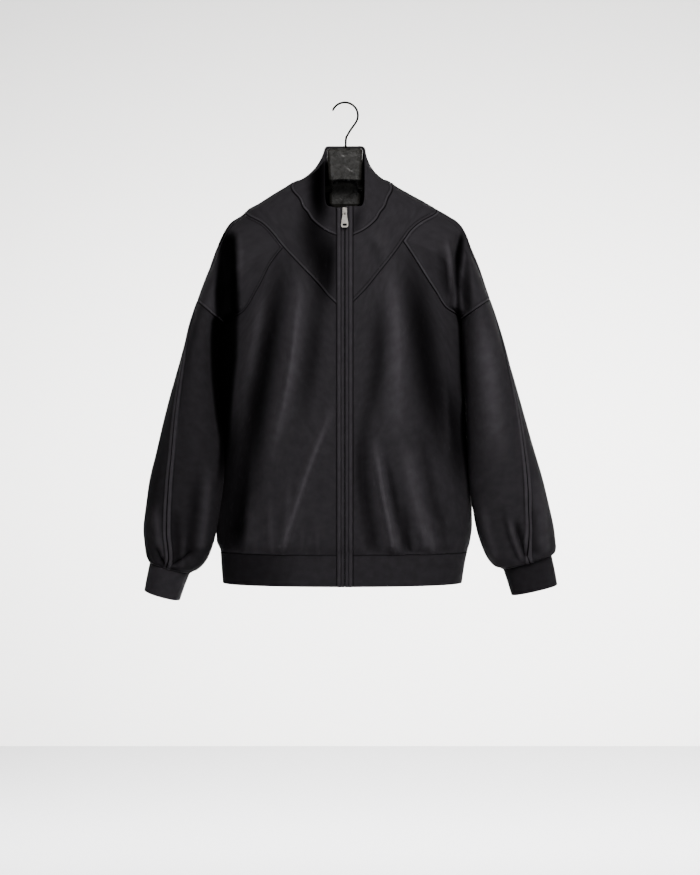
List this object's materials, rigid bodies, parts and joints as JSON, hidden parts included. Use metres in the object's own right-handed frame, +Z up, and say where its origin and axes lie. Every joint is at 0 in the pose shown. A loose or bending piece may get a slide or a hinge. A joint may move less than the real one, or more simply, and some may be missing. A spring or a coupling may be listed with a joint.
{
  "type": "full-zip funnel-collar sweatshirt jacket on a hanger",
  "caption": "Black full-zip sweatshirt jacket with funnel collar, V yoke, dropped full sleeves, cuffs and hem band, hanging open-necked on a plain wire-hook hanger.",
  "frame": {"origin": "seat of the hanger's hook: the inner top of its bend, where a rail or peg holds it", "axes": "+Z up, the front of the jacket faces -Y, +X is the viewer's right"},
  "size_m": [0.7239, 0.1905, 0.8714],
  "materials": {
    "black_jersey": "matte double-faced jersey with a faint nap",
    "black_band": "matte doubled jersey band",
    "zip_tape": "woven tape with a coil zip",
    "zip_metal": "satin silver with a warm tint",
    "hanger_plastic": "glossy black moulding",
    "hook_wire": "black lacquered wire"
  },
  "bodies": {
    "jacket": {"front_yoke_L": "black_jersey", "front_yoke_R": "black_jersey", "front_lower_L": "black_jersey", "front_lower_R": "black_jersey", "shoulder_front_L": "black_jersey", "shoulder_front_R": "black_jersey", "shoulder_back_L": "black_jersey", "shoulder_back_R": "black_jersey", "back": "black_jersey", "sleeve_front_L": "black_jersey", "sleeve_front_R": "black_jersey", "sleeve_back_L": "black_jersey", "sleeve_back_R": "black_jersey", "placket_L": "black_jersey", "placket_R": "black_jersey", "collar": "black_jersey", "cuff_L": "black_band", "cuff_R": "black_band", "hem_band": "black_band", "zip_chain": "zip_tape", "zip_slider": "zip_metal", "hanger_hook": "hook_wire", "hanger_body": "hanger_plastic"},
    "tab": {"pull_tab": "zip_metal"}
  },
  "joints": [
    {"name": "tab_swing", "type": "hinge", "parent": "jacket", "child": "tab", "pos_m": [0, -0.0849, -0.1948], "axis": [-1, 0, 0], "range_deg": [0, 165]}
  ]
}
